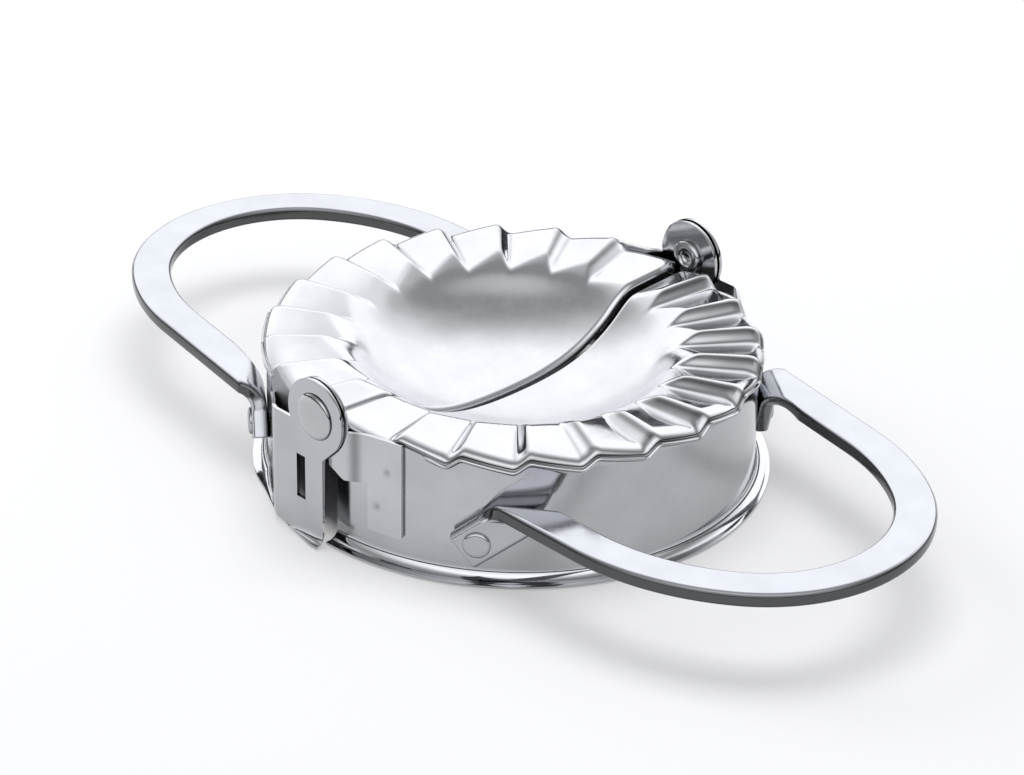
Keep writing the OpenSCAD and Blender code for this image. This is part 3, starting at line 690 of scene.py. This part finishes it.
def handle_bar():
    strap_foot = (-strap_foot_deg, strap_fold_r)
    tab_foot = (tab_foot_deg, tab_fold_r)
    tab_line = bar_half(tab_foot_deg, 30, 10, tab_fold_r, 39)
    strap_line = [(Vector((p.x, -p.y)), Vector((d.x, -d.y)))
                  for p, d in bar_half(strap_foot_deg, 52, 0, strap_fold_r, 38)]
    stations = tab_line + list(reversed(strap_line[:-1]))
    corner = 0.8
    ring = []
    for cx, cy, first in ((1, 1, 0), (-1, 1, 90), (-1, -1, 180), (1, -1, 270)):
        for k in range(6):
            g = math.radians(first + 18 * k)
            ring.append((cx * (bar_w / 2 - corner) + corner * math.cos(g),
                         bar_t / 2 + cy * (bar_t / 2 - corner) + corner * math.sin(g)))

    def place(station):
        p, d = station
        out = []
        for a, h in ring:
            q = p + d * a
            deg, fold_r = tab_foot if q.y >= 0 else strap_foot
            out.append(folded(q, h, deg, fold_r))
        return out
    bm = bmesh.new()
    painted_shade_and_dullness = bm.verts.layers.float.new("painted_shade_and_dullness")
    verts = [bm.verts.new(co) for co in place(stations[0])]
    edges = [bm.edges.new(pair) for pair in zip(verts, verts[1:] + verts[:1])]
    bm.faces.new(verts)
    for station in stations[1:]:
        made = bmesh.ops.extrude_edge_only(bm, edges=edges)["geom"]
        fresh = [g for g in made if isinstance(g, bmesh.types.BMVert)]
        edges = [g for g in made if isinstance(g, bmesh.types.BMEdge)
                 and g.verts[0] in fresh and g.verts[1] in fresh]
        spots = place(station)
        old = [v.co.copy() for v in verts]
        verts = [min(fresh, key=lambda v: (v.co - c).length) for c in old]
        for v, co, (a, h) in zip(verts, spots, ring):
            v.co = co
            # Painted shade: the sides of the loop are darkened, standing in for their shade
            # and dark reflections; the feet keep their polish all round.
            shaded_side = abs(a) > bar_w / 2 - corner / 4 and co.z > bar_top - bar_t - 0.01
            v[painted_shade_and_dullness] = 0.86 if shaded_side else 0.0
    bm.faces.new(verts)
    bmesh.ops.translate(bm, verts=bm.verts, vec=(half_shift, 0, 0))
    return bm


# Painted shade: the second and third colours darken upright faces and faces that look down.
bar_steel = metal("bar_steel", (0.8, 0.815, 0.86), (0.42, 0.425, 0.44), (0.1, 0.1, 0.11),
                  0.16, 0.03, 0.00005, (1, 1, 1))
for side in ("right", "left"):
    bm = handle_bar()
    if side == "left":
        rotate(bm, 180, "Z")
    bar = finish_mesh(bm, side + "_handle_bar")
    soften_edges(bar, 0.0002)
    bar.data.materials.append(bar_steel)
    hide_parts(side + "_handle")
    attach(bar, side + "_half")

# Foot rivets. Flat steel rivets hold the feet of the handles on the skirts, with a low
# head outside on the foot and another inside the skirt.
# Painted shade: the second and third colours darken upright faces and faces that look down.
foot_steel = metal("foot_rivet_steel", (0.62, 0.63, 0.66), (0.42, 0.43, 0.45),
                   (0.15, 0.15, 0.16), 0.2, 0.04, 0.00003, (1, 1, 1))
outside = [(0, 0.6), (1.2, 0.59), (1.75, 0.54), (2.05, 0.42), (2.18, 0.24), (2.2, 0.05),
           (2.2, 0.0), (1.2, 0.0)]
inside = [(1.2, -3.23), (2.0, -3.23), (1.98, -3.5), (1.8, -3.7), (1.4, -3.8), (0, -3.83)]
for name, side, foot_deg in (("right_handle_front_rivet", "right", -strap_foot_deg),
                             ("right_handle_back_rivet", "right", tab_foot_deg),
                             ("left_handle_back_rivet", "left", -strap_foot_deg),
                             ("left_handle_front_rivet", "left", tab_foot_deg)):
    bm = turned(list(reversed(inside)) + list(reversed(outside)), 40)
    rotate(bm, 90, "Y")
    bmesh.ops.translate(bm, verts=bm.verts, vec=(face_in + bar_t, 0, rivet_z))
    rotate(bm, foot_deg, "Z")
    bmesh.ops.translate(bm, verts=bm.verts, vec=(half_shift, 0, 0))
    if side == "left":
        rotate(bm, 180, "Z")
    rivet = finish_mesh(bm, name + "_turned")
    rivet.data.materials.append(foot_steel)
    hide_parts(name)
    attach(rivet, side + "_half")

# Stage: a pale plain floor that keeps the shadow of the press. Round the press it glows a
# little, to the camera and in the metal only, so that it looks white there.
def seen_rays(tree):
    """1 for what the camera sees straight, mirrored or through glass, 0 for other light."""
    path = tree.nodes.new("ShaderNodeLightPath")
    seen = calc(tree, "MAXIMUM", path.outputs["Is Camera Ray"],
                path.outputs["Is Glossy Ray"])
    return calc(tree, "MAXIMUM", seen, path.outputs["Is Transmission Ray"])


bm = bmesh.new()
bmesh.ops.create_grid(bm, x_segments=1, y_segments=1, size=3)
floor = as_object(bm, "floor")
floor_mat = bpy.data.materials.new("pale_floor")
floor_mat.use_nodes = True
tree = floor_mat.node_tree
nodes, links = tree.nodes, tree.links
nodes.clear()
paint = nodes.new("ShaderNodeBsdfDiffuse")
paint.inputs["Color"].default_value = (0.86, 0.86, 0.87, 1)
glow = nodes.new("ShaderNodeEmission")
glow.inputs["Color"].default_value = (1, 1, 1, 1)
glow.inputs["Strength"].default_value = 1.0
spot = nodes.new("ShaderNodeTexCoord")
from_press = vector_node(tree, "LENGTH", spot.outputs["Object"])
open_floor = map_range(tree, from_press.outputs["Value"], (0.035, 0.039), (0, 0.4))
blend = nodes.new("ShaderNodeMixShader")
links.new(calc(tree, "MULTIPLY", seen_rays(tree), open_floor), blend.inputs["Fac"])
links.new(paint.outputs[0], blend.inputs[1])
links.new(glow.outputs[0], blend.inputs[2])
out = nodes.new("ShaderNodeOutputMaterial")
links.new(blend.outputs[0], out.inputs["Surface"])
floor.data.materials.append(floor_mat)

# A dark curtain stands round the stage, low on the horizon, as in a studio: it is what
# polished metal needs to show its form. The camera doesn't see it.
bm = bmesh.new()
post = [bm.verts.new((1.1, 0, z)) for z in (0.0, 0.1, 0.19)]
edges = [bm.edges.new(pair) for pair in zip(post, post[1:])]
bmesh.ops.spin(bm, geom=post + edges, cent=(0, 0, 0), axis=(0, 0, 1), angle=2 * math.pi,
               steps=64, use_merge=True)
curtain = as_object(bm, "curtain")
curtain.visible_camera = False
cloth = bpy.data.materials.new("dark_cloth")
cloth.use_nodes = True
weave = cloth.node_tree.nodes["Principled BSDF"]
weave.inputs["Base Color"].default_value = (0.05, 0.05, 0.055, 1)
weave.inputs["Roughness"].default_value = 1.0
curtain.data.materials.append(cloth)

# Studio light: the camera sees a white backdrop. The metal mirrors a room that is white
# before and behind the camera and grey overhead and to the sides. Rough surfaces get even
# pale light, and two soft lamps make the shadow.
world = bpy.data.worlds.new("studio")
bpy.context.scene.world = world
world.use_nodes = True
tree = world.node_tree
nodes, links = tree.nodes, tree.links
nodes.clear()
room = nodes.new("ShaderNodeBackground")
room.inputs["Color"].default_value = (0.9, 0.92, 1.0, 1)
room.inputs["Strength"].default_value = 0.55
direction = nodes.new("ShaderNodeTexCoord")
in_sight = vector_node(tree, "DOT_PRODUCT", direction.outputs["Generated"])
in_sight.inputs[1].default_value = (-0.72, 0.69, 0)
mirrored = tone_ramp(tree, calc(tree, "ABSOLUTE", in_sight.outputs["Value"]), [
    (at, (tone * 0.97, tone * 0.98, tone))
    for at, tone in ((0.08, 0.26), (0.3, 0.48), (0.46, 0.8), (0.64, 1.12))])
path = nodes.new("ShaderNodeLightPath")
backdrop = nodes.new("ShaderNodeMix")
backdrop.data_type = "RGBA"
backdrop.inputs["B"].default_value = (0.97, 0.975, 1.0, 1)
links.new(path.outputs["Is Camera Ray"], backdrop.inputs["Factor"])
links.new(mirrored, backdrop.inputs["A"])
white = nodes.new("ShaderNodeBackground")
white.inputs["Strength"].default_value = 1.0
links.new(backdrop.outputs["Result"], white.inputs["Color"])
blend = nodes.new("ShaderNodeMixShader")
links.new(seen_rays(tree), blend.inputs["Fac"])
links.new(room.outputs[0], blend.inputs[1])
links.new(white.outputs[0], blend.inputs[2])
out = nodes.new("ShaderNodeOutputWorld")
links.new(blend.outputs[0], out.inputs["Surface"])


def soft_lamp(name, spot, size, power):
    lamp = bpy.data.lights.new(name, "AREA")
    lamp.shape = "RECTANGLE"
    lamp.size = size[0]
    lamp.size_y = size[1]
    lamp.energy = power
    obj = bpy.data.objects.new(name, lamp)
    obj.location = spot
    towards = Vector((0, 0, 0.01)) - Vector(spot)
    obj.rotation_euler = towards.to_track_quat("-Z", "Y").to_euler()
    obj.visible_glossy = False
    bpy.context.scene.collection.objects.link(obj)


soft_lamp("overhead", (-0.1, 0.15, 0.9), (0.7, 0.5), 5.0)
soft_lamp("left_window", (-0.8, -0.2, 0.5), (0.5, 0.5), 3.0)

# Camera at the photograph's viewing angle: from the front right, looking down.
turn = math.radians(46.14)
height = math.radians(28.60)
roll = math.radians(0.90)
aim = Vector((0, 0, 0.0124))
back = Vector((math.sin(turn) * math.cos(height), -math.cos(turn) * math.cos(height),
               math.sin(height)))
level = Vector((0, 0, 1)).cross(back).normalized()
up = back.cross(level)
across = math.cos(roll) * level + math.sin(roll) * up
up = -math.sin(roll) * level + math.cos(roll) * up
camera = bpy.data.cameras.new("camera")
camera.sensor_width = 36
camera.lens = 3741.2 * 36 / 1024
camera.clip_start = 0.01
view = bpy.data.objects.new("camera", camera)
view.matrix_world = Matrix(((across.x, up.x, back.x, 0), (across.y, up.y, back.y, 0),
                            (across.z, up.z, back.z, 0), (0, 0, 0, 1)))
view.location = aim + back * 0.6
bpy.context.scene.collection.objects.link(view)
bpy.context.scene.camera = view
bpy.context.scene.view_settings.view_transform = "Standard"
